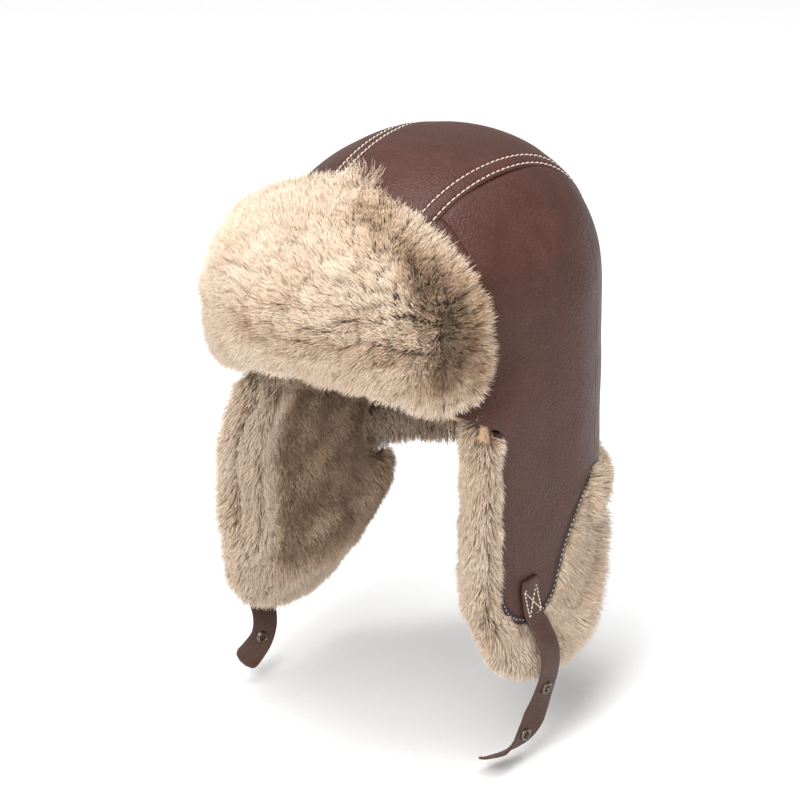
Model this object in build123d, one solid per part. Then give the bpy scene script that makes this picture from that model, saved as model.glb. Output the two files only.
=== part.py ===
from build123d import *
import math
import os

# Leather trapper hat with a folded-up fur brim, two fur-lined ear flaps and two snap straps.
# Millimetres. The wearer faces -Y, the wearer's left is +X, and +Z is up. The origin is the
# centre of the head opening, at the level where the ear flaps fold.

# ---- Crown ----
HALF_WIDTH = 92.0  # half the crown's width, outside the leather
APEX_Y = 16.0  # the crown's highest and widest section lies this far behind the origin
FRONT_DEPTH = 118.0  # from that section to the leather at the forehead
REAR_DEPTH = 92.0  # from that section to the leather at the back of the head
WALL_TOP = 50.0  # the wall is straight up to here
CROWN_TOP = 140.0
ROUNDNESS = 2.25  # exponent of the rounded top: 2 is an ellipse, more is squarer
SEAM_FRONT = 32.0  # half-width of the centre strip at the forehead
SEAM_REAR = 54.0  # half-width of the centre strip at the nape

# ---- Layers, from the outside in ----
LEATHER = 1.5
WADDING = 3.0
CROWN_PILE = 9.5  # fur lining inside the crown
FLAP_PILE = 21.0  # fur lining of an ear flap, deeper than the crown's
THREAD_HEIGHT = 0.5
THREAD_WIDTH = 0.8
SEAM_ROWS = (2.0, 8.5)  # stitch rows, measured from the seam into the centre strip

# ---- Lower edges ----
GAP = 0.5  # each side of the ear flaps' fold line
FOREHEAD_Z = 30.0  # lower edge at the middle of the forehead
TEMPLE_Y = -50.0  # where that edge has come down to the fold line
FLAP_FRONT_Y = -60.0  # front edge of the flap's fur
LEATHER_FRONT_Y = -50.0  # front edge of its leather: the fur rolls out ahead of it
FLAP_REAR_Y = 42.0  # the nape starts just behind this
NAPE_GAP = 2.0
NAPE_Y = FLAP_REAR_Y + NAPE_GAP
FOREHEAD_Y = APEX_Y - FRONT_DEPTH
NAPE_LEATHER_Z = -56.0
NAPE_FUR_Z = -80.0
BINDING = 2.5  # leather tape round an edge

# ---- Front flap, folded up against the crown ----
BRIM_GAP = 1.5
BRIM_BACKING = 1.5
BRIM_STIFFENER = 1.0
BRIM_PILE = 25.0
BRIM_REAR_Y = -62.0  # the brim's ends
BRIM_END_Z = 10.0  # its lower edge at the ends, level with its fold axis
BRIM_MIDDLE_Z = 34.0
BRIM_TOP_Z = 122.0
BRIM_CORNER = 70.0  # radius of its upper corners, seen from the front
BRIM_HALF_WIDTH = 106.0

# ---- Ear flaps and straps ----
FLAP_FRONT_RADIUS = 315.0  # the flap's plan curve ahead of the apex section is this flat
TAPE_TOP_Z = -3.0  # the tape on the flap's front edge starts here
STRAP_WIDTH = 16.0
STRAP_THICK = 1.6
STRAP_Y = -24.0
STRAP_TOP_Z = -94.0
STRAP_BEND_Z = -168.0
STRAP_BEND_GAP = 1.0  # clearance each side of the line where the strap bends
STRAP_TIP_Z = -200.0
STRAP_GAP = 0.4  # clearance between strap and flap
BOX_STITCH = (12.0, 17.0)  # width and height of the crossed box that holds the strap
BOX_CENTRE_Z = -104.0
SNAP_RADIUS = 4.0
SNAP_HOLE = 1.3
SNAP_HEIGHT = 1.8
SNAP_ROUND = 0.8  # radius of the ring's outer edge
UPPER_SNAP_Z = -158.0
LOWER_SNAP_Z = -186.0

REACH = 220.0  # cutting prisms are this long each way
UNIT = 100.0  # radius of the round dome that is stretched into the crown
EDGE_STEPS = 24  # a flap's free edge is drawn through this many steps

os.makedirs("parts", exist_ok=True)


def keep(shape, name):
    """Write one sub-part to its own file."""
    solids = shape.solids()
    label = Compound(children=list(solids)) if len(solids) > 1 else solids[0]
    label.label = name
    export_step(label, f"parts/{name}.step")


def dome(inset, bottom):
    """The crown's outer face moved inwards by inset, as a solid: a straight wall and a round top."""
    rise = CROWN_TOP - inset - WALL_TOP
    steps = [math.radians(15.0 * step) for step in range(1, 6)]
    power = 2.0 / ROUNDNESS
    arch = [(UNIT * math.cos(a) ** power, WALL_TOP + rise * math.sin(a) ** power) for a in steps]
    shoulder = (UNIT, WALL_TOP)
    peak = (0.0, WALL_TOP + rise)
    edge = Polyline(peak, (0.0, bottom), (UNIT, bottom), shoulder)
    edge += Spline(shoulder, *arch, peak, tangents=((0, 1), (-1, 0)))
    half = revolve(Plane.XZ * make_face(edge), Axis.Z, 180)
    width = (HALF_WIDTH - inset) / UNIT
    rear = scale(half, by=(width, (REAR_DEPTH - inset) / UNIT, 1))
    front = scale(Rot(0, 0, 180) * half, by=(width, (FRONT_DEPTH - inset) / UNIT, 1))
    return Pos(0, APEX_Y, 0) * (rear + front)


def layer(outside, inside):
    """A shell of the crown between two insets."""
    return dome(outside, -100.0) - dome(inside, -101.0)


def side_prism(*corners):
    """Everything inside a closed outline drawn in Y and Z."""
    return extrude(Plane.YZ * make_face(Polyline(*corners, close=True)), REACH, both=True)


def front_prism(face):
    """Everything behind and ahead of a face drawn in X and Z."""
    return extrude(Plane.XZ * face, REACH, both=True)


def plan_prism(*corners):
    """Everything above and below a closed outline drawn in X and Y."""
    return extrude(make_face(Polyline(*corners, close=True)), REACH, both=True)


def seam_x(y):
    """Half-width of the centre strip at a depth y; the strip widens evenly to the back."""
    front, rear = APEX_Y - FRONT_DEPTH, APEX_Y + REAR_DEPTH
    return SEAM_FRONT + (SEAM_REAR - SEAM_FRONT) * (y - front) / (rear - front)


def strip(inner, outer):
    """A band beside the left seam, between two distances from it towards the middle."""
    near, far = -REACH, REACH
    return plan_prism(
        (seam_x(near) - outer, near),
        (seam_x(near) - inner, near),
        (seam_x(far) - inner, far),
        (seam_x(far) - outer, far),
    )


def crown_trim(nape_z):
    """What of a crown layer stays: above the arched forehead edge and down to nape_z behind."""
    return side_prism(
        (-REACH, FOREHEAD_Z),
        (FOREHEAD_Y, FOREHEAD_Z),
        (TEMPLE_Y, GAP),
        (NAPE_Y, GAP),
        (NAPE_Y, nape_z),
        (REACH, nape_z),
        (REACH, REACH),
        (-REACH, REACH),
    )


def flap_wall(outside, inside):
    """The left flap's wall between two insets: nearly flat ahead of the apex section, round behind it."""
    centre_x = HALF_WIDTH - FLAP_FRONT_RADIUS
    height = 2 * REACH

    def ring(x, radius):
        tube = Cylinder(radius - outside, height) - Cylinder(radius - inside, height)
        return Pos(x, APEX_Y, 0) * tube

    in_front = plan_prism((0, -REACH), (REACH, -REACH), (REACH, APEX_Y), (0, APEX_Y))
    in_rear = plan_prism((0, APEX_Y), (REACH, APEX_Y), (REACH, REACH), (0, REACH))
    return (ring(centre_x, FLAP_FRONT_RADIUS) & in_front) + (ring(0.0, HALF_WIDTH) & in_rear)


def flap_face(points, spread=0.0):
    """A flap's outline in Y and Z, its free edge moved outwards by spread.

    The top and both sides are straight, and a smooth curve runs from the front edge, through the
    points, to the rear edge.
    """
    free_edge = Spline(*points)
    moved = []
    for step in range(EDGE_STEPS + 1):
        way = free_edge % (step / EDGE_STEPS)
        moved.append(free_edge @ (step / EDGE_STEPS) + Vector(way.Y, -way.X) * spread)
    start, end = moved[0], moved[-1]
    edge = Polyline(start, (start.X, -GAP), (end.X, -GAP), end)
    edge += Spline(*moved)
    return make_face(edge)


def flap_plate(face):
    """Everything to the wearer's left that lies within a flap outline."""
    return extrude(Plane.YZ * face, REACH)


def both_sides(shape, name):
    """Write a left-hand sub-part and its mirror image."""
    keep(shape, f"{name}_left")
    keep(mirror(shape, Plane.YZ), f"{name}_right")


# ---- Crown: leather, wadding and fur lining, each cut as a centre strip and two sides ----
centre = strip(0.0, REACH) & mirror(strip(0.0, REACH), Plane.YZ)
left_side = strip(-REACH, 0.0)
sectors = {"centre": centre, "left": left_side, "right": mirror(left_side, Plane.YZ)}
wadding_depth = LEATHER + WADDING
lining_depth = wadding_depth + CROWN_PILE
crown_layers = {
    "panel": layer(0.0, LEATHER) & crown_trim(NAPE_LEATHER_Z),
    "wadding": layer(LEATHER, wadding_depth) & crown_trim(NAPE_LEATHER_Z + BINDING),
    "lining": layer(wadding_depth, lining_depth) & crown_trim(NAPE_FUR_Z),
}
for name, shell in crown_layers.items():
    for sector, cutter in sectors.items():
        keep(shell & cutter, f"crown_{name}_{sector}")

# Two rows of stitches lie on the centre strip beside each seam.
thread_shell = layer(-THREAD_HEIGHT, 0.0) & crown_trim(NAPE_LEATHER_Z)
rows = [thread_shell & strip(row, row + THREAD_WIDTH) for row in SEAM_ROWS]
both_sides(rows[0] + rows[1], "crown_seam_thread")

# A tape closes the leather's lower edge across the nape.
tape_bottom = NAPE_LEATHER_Z - BINDING
nape_band = side_prism(
    (NAPE_Y, NAPE_LEATHER_Z), (NAPE_Y, tape_bottom), (REACH, tape_bottom), (REACH, NAPE_LEATHER_Z)
)
keep(layer(0.0, wadding_depth) & nape_band, "nape_binding")

# ---- Front flap: leather backing towards the crown, a stiffener and the fur face ----
brim_outline = front_prism(
    RectangleRounded(2 * BRIM_HALF_WIDTH, 2 * BRIM_TOP_Z, BRIM_CORNER)
)
brim_trim = side_prism(
    (BRIM_REAR_Y, BRIM_END_Z),
    (BRIM_REAR_Y, REACH),
    (-REACH, REACH),
    (-REACH, BRIM_MIDDLE_Z),
    (FOREHEAD_Y, BRIM_MIDDLE_Z),
)
brim_space = brim_outline & brim_trim
backing = -BRIM_GAP - BRIM_BACKING
stiffener = backing - BRIM_STIFFENER
fur_face = stiffener - BRIM_PILE
keep(layer(backing, -BRIM_GAP) & brim_space, "front_flap_backing")
keep(layer(stiffener, backing) & brim_space, "front_flap_stiffener")
keep(layer(fur_face, stiffener) & brim_space, "front_flap_fur")

# ---- Ear flaps ----
leather_edge = [
    (LEATHER_FRONT_Y, -94.0),
    (-42.0, -112.0),
    (-24.0, -120.0),
    (-6.0, -112.0),
    (6.0, -86.0),
    (24.0, -62.0),
    (FLAP_REAR_Y, -52.0),
]
leather_face = flap_face(leather_edge)
wadding_face = flap_face(leather_edge, -BINDING)
taped_face = flap_face(leather_edge, BINDING) - leather_face
both_sides(flap_wall(0.0, LEATHER) & flap_plate(leather_face), "ear_flap_shell")
both_sides(flap_wall(LEATHER, wadding_depth) & flap_plate(wadding_face), "ear_flap_wadding")

# The tape follows the leather's free edge: not the top, which runs on into the crown.
below_fold = side_prism((-REACH, TAPE_TOP_Z), (-REACH, -REACH), (REACH, -REACH), (REACH, TAPE_TOP_Z))
clear_of_nape = side_prism((-REACH, REACH), (-REACH, -REACH), (FLAP_REAR_Y, -REACH), (FLAP_REAR_Y, REACH))
tape_space = flap_plate(taped_face) & below_fold & clear_of_nape
both_sides(flap_wall(0.0, wadding_depth) & tape_space, "ear_flap_binding")

# The fur lining reaches below and behind the leather. Its rear lobe passes under the nape's fur.
fur_edge = [
    (FLAP_FRONT_Y, -92.0),
    (-52.0, -132.0),
    (-34.0, -154.0),
    (-8.0, -161.0),
    (20.0, -153.0),
    (42.0, -136.0),
    (57.0, -114.0),
    (59.0, -97.0),
    (FLAP_REAR_Y, -88.0),
]
fur_plate = flap_plate(flap_face(fur_edge))
both_sides(flap_wall(wadding_depth, wadding_depth + FLAP_PILE) & fur_plate, "ear_flap_lining")

# ---- Straps ----
strap_x = HALF_WIDTH + STRAP_GAP  # inner face of the strap


def strap_block(x, thick, width, low, high):
    """A flat block standing on the strap's line, its face at x."""
    return Pos(x + thick / 2, STRAP_Y, (low + high) / 2) * Box(thick, width, high - low)


def strap_run(low, high, snap_z):
    """A length of strap with a snap hole."""
    hole = Pos(strap_x, STRAP_Y, snap_z) * Rot(0, 90, 0) * Cylinder(SNAP_HOLE, 4 * STRAP_THICK)
    return strap_block(strap_x, STRAP_THICK, STRAP_WIDTH, low, high) - hole


def snap_half(face_x, outwards, z):
    """One half of a snap: a ring whose hollow post ends at the middle of the strap."""
    ring = Pos(0, 0, SNAP_HEIGHT / 2) * Cylinder(SNAP_RADIUS, SNAP_HEIGHT)
    post = Pos(0, 0, -STRAP_THICK / 4) * Cylinder(SNAP_HOLE, STRAP_THICK / 2)
    eye = Cylinder(SNAP_HOLE / 2, 4 * SNAP_HEIGHT)
    washer = ring - eye
    outer_rim = washer.edges().filter_by(GeomType.CIRCLE).group_by(Axis.Z)[-1].sort_by(Edge.length)[-1]
    half = fillet(outer_rim, SNAP_ROUND) + (post - eye)
    tilt = 90 if outwards else -90
    return Pos(face_x, STRAP_Y, z) * Rot(0, tilt, 0) * half


both_sides(strap_run(STRAP_BEND_Z + STRAP_BEND_GAP, STRAP_TOP_Z, UPPER_SNAP_Z), "strap_root")
both_sides(strap_run(STRAP_TIP_Z, STRAP_BEND_Z - STRAP_BEND_GAP, LOWER_SNAP_Z), "strap_tail")
outer_face = strap_x + STRAP_THICK
for level, snap_z in (("upper", UPPER_SNAP_Z), ("lower", LOWER_SNAP_Z)):
    both_sides(snap_half(outer_face, True, snap_z), f"snap_{level}_cap")
    both_sides(snap_half(strap_x, False, snap_z), f"snap_{level}_socket")

# The crossed box of thread that holds the strap's root to the flap.
box_width, box_height = BOX_STITCH
inside_box = Rectangle(box_width - 2 * THREAD_WIDTH, box_height - 2 * THREAD_WIDTH)
frame_bars = Rectangle(box_width, box_height) - inside_box
diagonal = math.degrees(math.atan2(box_height, box_width))
bar = Rectangle(math.hypot(box_width, box_height) - 2 * THREAD_WIDTH, THREAD_WIDTH)
cross = Rot(0, 0, diagonal) * bar + Rot(0, 0, -diagonal) * bar
stitch_plane = Plane(origin=(outer_face, STRAP_Y, BOX_CENTRE_Z), x_dir=(0, 1, 0), z_dir=(1, 0, 0))
both_sides(extrude(stitch_plane * (frame_bars + cross), THREAD_HEIGHT), "strap_box_stitch")
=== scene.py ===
import math
import bpy
import numpy as np
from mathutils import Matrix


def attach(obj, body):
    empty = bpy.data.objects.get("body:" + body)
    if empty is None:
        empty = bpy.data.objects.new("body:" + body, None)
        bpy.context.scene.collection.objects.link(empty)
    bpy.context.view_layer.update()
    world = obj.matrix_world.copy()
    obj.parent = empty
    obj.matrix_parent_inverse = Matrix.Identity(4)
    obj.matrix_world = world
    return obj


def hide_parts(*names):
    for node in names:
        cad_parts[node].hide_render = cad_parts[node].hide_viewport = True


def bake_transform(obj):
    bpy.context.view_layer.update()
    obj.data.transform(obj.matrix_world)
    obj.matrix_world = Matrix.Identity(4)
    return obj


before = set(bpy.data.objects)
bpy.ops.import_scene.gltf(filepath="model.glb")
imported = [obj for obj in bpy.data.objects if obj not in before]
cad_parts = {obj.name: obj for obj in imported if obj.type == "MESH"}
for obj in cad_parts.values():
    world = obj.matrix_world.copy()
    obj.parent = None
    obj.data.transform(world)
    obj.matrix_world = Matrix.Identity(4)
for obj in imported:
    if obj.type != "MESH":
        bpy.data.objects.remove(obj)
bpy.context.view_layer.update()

# Leather trapper hat. Lengths below are millimetres until a mesh is made, and the frame is the
# CAD model's: the wearer faces -Y, the wearer's left is +X, and z = 0 is the ear flaps' fold.
MM = 0.001

# Crown, as the CAD model has it
HALF_WIDTH = 92.0
APEX_Y = 16.0
FRONT_DEPTH = 118.0
REAR_DEPTH = 92.0
WALL_TOP = 50.0
CROWN_TOP = 140.0
ROUNDNESS = 2.25
SEAM_FRONT = 32.0
SEAM_REAR = 54.0
LEATHER = 1.5
FOREHEAD_Z = 30.0
TEMPLE_Y = -50.0
LEATHER_FRONT_Y = -50.0
FLAP_REAR_Y = 42.0
NAPE_Z = -56.0
FLAP_FRONT_RADIUS = 315.0
SEAM_ROWS = (2.0, 8.5)
FLOOR_Z = -206.0

rng = np.random.default_rng(7)
SIDES = {"left": 1.0, "right": -1.0}


# ------------------------------------------------------------------ shape helpers
def unit(v):
    return v / np.maximum(np.linalg.norm(v, axis=-1, keepdims=True), 1e-9)


def smooth(x, low, high):
    """0 below low, 1 above high and a smooth step between; low may be above high."""
    t = np.clip((x - low) / (high - low), 0.0, 1.0)
    return t * t * (3.0 - 2.0 * t)


def waves(p, size, seed, octaves=3):
    """A smooth pseudo-random field over points in millimetres, about -1 to 1."""
    local = np.random.default_rng(seed)
    total = np.zeros(p.shape[:-1])
    weight = 1.0
    for _ in range(octaves):
        for _ in range(4):
            direction = local.normal(size=3)
            direction *= 2.0 * math.pi / size / np.linalg.norm(direction)
            total += weight * np.sin(p @ direction + local.uniform(0, 2 * math.pi)) / 3.0
        size *= 0.5
        weight *= 0.55
    return total


def shrink(z):
    """How much narrower the crown is at height z than at its wall."""
    u = np.clip((z - WALL_TOP) / (CROWN_TOP - WALL_TOP), 0.0, 1.0)
    return (1.0 - u ** ROUNDNESS) ** (1.0 / ROUNDNESS)


def crown_point(theta, z, grow):
    """The crown's face at an angle about the vertical, moved out level by grow."""
    s = shrink(z)
    depth = np.where(np.sin(theta) < 0, FRONT_DEPTH, REAR_DEPTH)
    x = (HALF_WIDTH * s + grow) * np.cos(theta)
    y = APEX_Y + (depth * s + grow) * np.sin(theta)
    return np.stack([x, y, z + 0.0 * x], -1)


def dome_z(x, y):
    """Height of the crown's rounded top over a point of the plan."""
    depth = np.where(y < APEX_Y, FRONT_DEPTH, REAR_DEPTH)
    r = np.clip(np.hypot(x / HALF_WIDTH, (y - APEX_Y) / depth), 0.0, 1.0)
    return WALL_TOP + (CROWN_TOP - WALL_TOP) * (1.0 - r ** ROUNDNESS) ** (1.0 / ROUNDNESS)


def seam_x(y):
    """Half-width of the centre strip at a depth y."""
    front, rear = APEX_Y - FRONT_DEPTH, APEX_Y + REAR_DEPTH
    return SEAM_FRONT + (SEAM_REAR - SEAM_FRONT) * (y - front) / (rear - front)


def lean(z):
    """The centre strip sits this far to the wearer's left over the top."""
    return 8.0 * smooth(z, 55.0, 112.0)


def crown_normal(p):
    """The crown's outward direction at points on it."""
    depth = np.where(p[..., 1] < APEX_Y, FRONT_DEPTH, REAR_DEPTH)
    x, y = p[..., 0] / HALF_WIDTH, (p[..., 1] - APEX_Y) / depth
    r = np.maximum(np.hypot(x, y), 1e-6)
    up = np.clip((p[..., 2] - WALL_TOP) / (CROWN_TOP - WALL_TOP), 0, 1)
    out = r ** (ROUNDNESS - 2)
    return unit(np.stack([out * x / HALF_WIDTH, out * y / depth,
        up ** (ROUNDNESS - 1) / (CROWN_TOP - WALL_TOP)], -1))


def wall_x(y):
    """Half-width of the crown's wall at a depth y."""
    depth = np.where(y < APEX_Y, FRONT_DEPTH, REAR_DEPTH)
    return HALF_WIDTH * np.sqrt(np.clip(1.0 - ((y - APEX_Y) / depth) ** 2, 0.0, 1.0))


def flap_x(y):
    """Outer face of a hanging ear flap: nearly flat in front, round behind."""
    ahead = HALF_WIDTH - FLAP_FRONT_RADIUS + np.sqrt(FLAP_FRONT_RADIUS ** 2
        - (np.minimum(y, APEX_Y) - APEX_Y) ** 2)
    return np.where(y < APEX_Y, ahead, wall_x(y))


def side_x(y, z):
    """Outer face of the side leather: the crown's wall above, easing out into the flap below."""
    return wall_x(y) + (flap_x(y) - wall_x(y)) * smooth(z, 42.0, 2.0)


def curve_through(points, count, closed=False):
    """Evenly spaced points of a smooth curve through a few points (Catmull-Rom)."""
    p = np.array(points, float)
    if closed:
        p = np.concatenate([p[-1:], p, p[:2]])
    else:
        p = np.concatenate([2 * p[:1] - p[1:2], p, 2 * p[-1:] - p[-2:-1]])
    out = []
    for a, b, c, d in zip(p[:-3], p[1:-2], p[2:-1], p[3:]):
        t = np.linspace(0, 1, 40, endpoint=False)[:, None]
        out.append(0.5 * (2 * b + (c - a) * t + (2 * a - 5 * b + 4 * c - d) * t ** 2
            + (3 * b - a - 3 * c + d) * t ** 3))
    fine = np.concatenate(out + [p[-2:-1]])
    run = np.concatenate([[0], np.cumsum(np.linalg.norm(np.diff(fine, axis=0), axis=1))])
    at = np.linspace(0, run[-1], count, endpoint=not closed)
    return np.stack([np.interp(at, run, fine[:, k]) for k in range(fine.shape[1])], -1)


# ------------------------------------------------------------------ mesh helpers
def make_piece(name, vertices, faces, material, flip=False):
    """A mesh object from millimetre vertices; faces is a list of index arrays with 3 or 4 columns."""
    mesh = bpy.data.meshes.new(name)
    vertices = np.asarray(vertices, float).reshape(-1, 3) * MM
    parts = [np.asarray(f, np.int32) for f in faces if len(f)]
    if flip:
        parts = [f[:, ::-1] for f in parts]
    sizes = np.concatenate([np.full(len(f), f.shape[1], np.int32) for f in parts])
    corners = np.concatenate([f.ravel() for f in parts])
    mesh.vertices.add(len(vertices))
    mesh.vertices.foreach_set("co", vertices.astype(np.float32).ravel())
    mesh.loops.add(len(corners))
    mesh.loops.foreach_set("vertex_index", corners)
    mesh.polygons.add(len(sizes))
    mesh.polygons.foreach_set("loop_start", np.concatenate([[0], np.cumsum(sizes)[:-1]]).astype(np.int32))
    mesh.polygons.foreach_set("use_smooth", np.ones(len(sizes), bool))
    mesh.update(calc_edges=True)
    mesh.validate()
    piece = bpy.data.objects.new(name, mesh)
    bpy.context.scene.collection.objects.link(piece)
    mesh.materials.append(material)
    return piece


def grid_faces(rows, columns, wrap_rows=False, wrap_columns=False):
    """Quads over a rows x columns block of vertices."""
    r = np.arange(rows if wrap_rows else rows - 1)
    c = np.arange(columns if wrap_columns else columns - 1)
    r, c = (v.ravel() for v in np.meshgrid(r, c, indexing="ij"))
    r1, c1 = (r + 1) % rows, (c + 1) % columns
    return np.stack([r * columns + c, r * columns + c1, r1 * columns + c1, r1 * columns + c], -1)


def slab(name, outer, inner, material, flip=False):
    """A closed sheet between two equal grids of points."""
    rows, columns = outer.shape[:2]
    count = rows * columns
    top = grid_faces(rows, columns)
    bottom = top[:, ::-1] + count
    i = np.arange(count).reshape(rows, columns)
    rim = np.concatenate([i[0, :-1], i[:-1, -1], i[-1, :0:-1], i[:0:-1, 0]])
    nxt = np.roll(rim, -1)
    side = np.stack([nxt, rim, rim + count, nxt + count], -1)
    vertices = np.concatenate([outer.reshape(-1, 3), inner.reshape(-1, 3)])
    return make_piece(name, vertices, [top, bottom, side], material, flip)


def capped_tube(rings):
    """Vertices and faces of a tube through rings of points (n, k, 3), closed by fans."""
    count, around = rings.shape[:2]
    ends = np.stack([rings[0].mean(0), rings[-1].mean(0)])
    vertices = np.concatenate([rings.reshape(-1, 3), ends])
    quads = grid_faces(count, around, wrap_columns=True)
    k = np.arange(around)
    k1 = (k + 1) % around
    first = np.stack([k1, k, np.full(around, count * around)], -1)
    last = np.stack([k, k1, np.full(around, 0)], -1) + (count - 1) * around
    last[:, 2] = count * around + 1
    return vertices, quads, first, last


def join_tubes(name, all_rings, material):
    """One piece of many closed tubes."""
    vertices, quads, tris = [], [], []
    base = 0
    for rings in all_rings:
        v, q, a, b = capped_tube(np.asarray(rings))
        vertices.append(v)
        quads.append(q + base)
        tris += [a + base, b + base]
        base += len(v)
    return make_piece(name, np.concatenate(vertices), [np.concatenate(quads), np.concatenate(tris)],
        material)


def mirrored(points, side):
    """Points of the wearer's left side moved to the side wanted."""
    return points * np.array([side, 1.0, 1.0])


def splayed(points, side):
    """The right flap's front edge stands a little further out and forward than the left's."""
    amount = (1 - side) / 2 * smooth(points[..., 1], 10.0, -58.0) * smooth(points[..., 2], 5.0, -45.0)
    return points + amount[..., None] * np.array([-10.0, -8.0, 0.0])


# ------------------------------------------------------------------ materials
class Maker:
    """A material whose nodes are added and linked by short calls."""

    def __init__(self, name):
        self.material = bpy.data.materials.new(name)
        self.material.use_nodes = True
        self.tree = self.material.node_tree
        self.shader = self.tree.nodes["Principled BSDF"]
        self.position = self.add("ShaderNodeTexCoord").outputs["Object"]

    def add(self, kind, inputs=None, **settings):
        node = self.tree.nodes.new(kind)
        for key, value in settings.items():
            setattr(node, key, value)
        for key, value in (inputs or {}).items():
            self.put(node.inputs[key], value)
        return node

    def put(self, socket, value):
        if isinstance(value, bpy.types.NodeSocket):
            self.tree.links.new(value, socket)
        else:
            socket.default_value = value

    def noise(self, scale, detail=3.0, roughness=0.55, distortion=0.0):
        values = {"Vector": self.position, "Scale": scale, "Detail": detail, "Roughness": roughness,
            "Distortion": distortion}
        return self.add("ShaderNodeTexNoise", values).outputs["Fac"]

    def cells(self, scale, feature="F1", randomness=1.0, vector=None):
        values = {"Vector": vector or self.position, "Scale": scale, "Randomness": randomness}
        return self.add("ShaderNodeTexVoronoi", values, feature=feature).outputs["Distance"]

    def math(self, operation, a, b=0.0, clamp=False):
        node = self.add("ShaderNodeMath", operation=operation, use_clamp=clamp)
        self.put(node.inputs[0], a)
        self.put(node.inputs[1], b)
        return node.outputs[0]

    def spread(self, value, low, high, to_low=0.0, to_high=1.0):
        values = {"Value": value, "From Min": low, "From Max": high, "To Min": to_low, "To Max": to_high}
        return self.add("ShaderNodeMapRange", values).outputs["Result"]

    def mix(self, factor, a, b, blend="MIX"):
        node = self.add("ShaderNodeMix", data_type="RGBA", blend_type=blend)
        self.put(node.inputs[0], factor)
        self.put(node.inputs[6], a)
        self.put(node.inputs[7], b)
        return node.outputs[2]

    def ramp(self, factor, stops):
        node = self.add("ShaderNodeValToRGB", {"Fac": factor})
        elements = node.color_ramp.elements
        while len(elements) < len(stops):
            elements.new(0.5)
        for element, (place, colour) in zip(elements, stops):
            element.position = place
            element.color = (*colour, 1.0)
        return node.outputs["Color"]

    def attribute(self, name):
        return self.add("ShaderNodeAttribute", attribute_name=name).outputs["Fac"]

    def bump(self, height, strength, distance, under=None):
        values = {"Height": height, "Strength": strength, "Distance": distance}
        if under is not None:
            values["Normal"] = under
        return self.add("ShaderNodeBump", values).outputs["Normal"]

    def finish(self, colour, roughness, normal=None, **fixed):
        self.put(self.shader.inputs["Base Color"], colour)
        self.put(self.shader.inputs["Roughness"], roughness)
        if normal is not None:
            self.put(self.shader.inputs["Normal"], normal)
        for key, value in fixed.items():
            self.shader.inputs[key.replace("_", " ")].default_value = value
        return self.material


def leather(name, base, light, dark, grain=740.0, depth=0.00042, roughness=0.38):
    """Pebbled leather: rounded grains, fine pores, cloudy colour, and painted shade in the creases between
    grains and in the hollows of the soft dents.
    """
    m = Maker(name)
    warp = m.add("ShaderNodeVectorMath", operation="MULTIPLY_ADD")
    swirl = m.add("ShaderNodeTexNoise", {"Vector": m.position, "Scale": 260.0,
        "Detail": 2.0}).outputs["Color"]
    m.put(warp.inputs[0], swirl)
    m.put(warp.inputs[1], (0.0016, 0.0016, 0.0016))
    m.put(warp.inputs[2], m.position)
    pebbles = m.cells(grain, "SMOOTH_F1", vector=warp.outputs[0])
    creases = m.cells(grain, "DISTANCE_TO_EDGE", vector=warp.outputs[0])
    pores = m.noise(2600.0, 2.0)
    soft = m.noise(28.0, 4.0, 0.6)
    blotch = m.noise(70.0, 5.0, 0.6)
    height = m.math("SUBTRACT", 1.0, m.math("POWER", m.math("MULTIPLY", pebbles, 1.15, True), 1.6))
    colour = m.mix(m.spread(blotch, 0.32, 0.70), base, light)
    # Painted shade: darker along the creases between the grains.
    colour = m.mix(m.spread(creases, 0.0, 0.22, 0.55, 0.0), colour, dark)
    # Painted shade: darker where the soft dents' bump is low.
    colour = m.mix(m.spread(soft, 0.35, 0.62, 0.32, 0.0), colour, dark)
    shine = m.math("ADD", m.spread(blotch, 0.3, 0.7, roughness - 0.05, roughness + 0.07),
        m.spread(creases, 0.0, 0.2, 0.12, 0.0))
    normal = m.bump(soft, 0.35, 0.0014)
    normal = m.bump(height, 0.85, depth, normal)
    normal = m.bump(pores, 0.12, 0.00006, normal)
    return m.finish(colour, shine, normal, Specular_IOR_Level=0.20)


def fur(name, root, middle, tip, shade):
    """Pile: brown at the root and cream at the tip, each hair a little different, browner at a parting, and
    browner as painted shade on the inner faces.
    """
    m = Maker(name)
    along = m.attribute("fur_along")
    tint = m.attribute("fur_tint")
    parting_and_shade = m.attribute("fur_parting_and_shade")
    # The parting value holds real partings and also painted shade; both shift the hair towards the root's
    # brown.
    shifted = m.math("SUBTRACT", along, m.math("MULTIPLY", parting_and_shade, 0.92))
    shifted = m.math("ADD", shifted, m.spread(tint, 0.0, 1.0, -0.16, 0.14), True)
    colour = m.ramp(shifted, [(0.0, root), (0.42, middle), (0.78, tip),
        (1.0, tuple(min(1.0, c * 1.08) for c in tip))])
    cloud = m.noise(45.0, 3.0, 0.6)
    colour = m.mix(m.spread(cloud, 0.38, 0.66, 0.0, 0.38), colour, shade)
    colour = m.mix(m.spread(tint, 0.0, 1.0, 0.0, 0.14), colour, (0.96, 0.88, 0.74, 1.0))
    return m.finish(colour, m.spread(tint, 0.0, 1.0, 0.50, 0.66), None, Specular_IOR_Level=0.35,
        Sheen_Weight=0.20,
                    Sheen_Roughness=0.5, Sheen_Tint=(1.0, 0.92, 0.80, 1.0))


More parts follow.
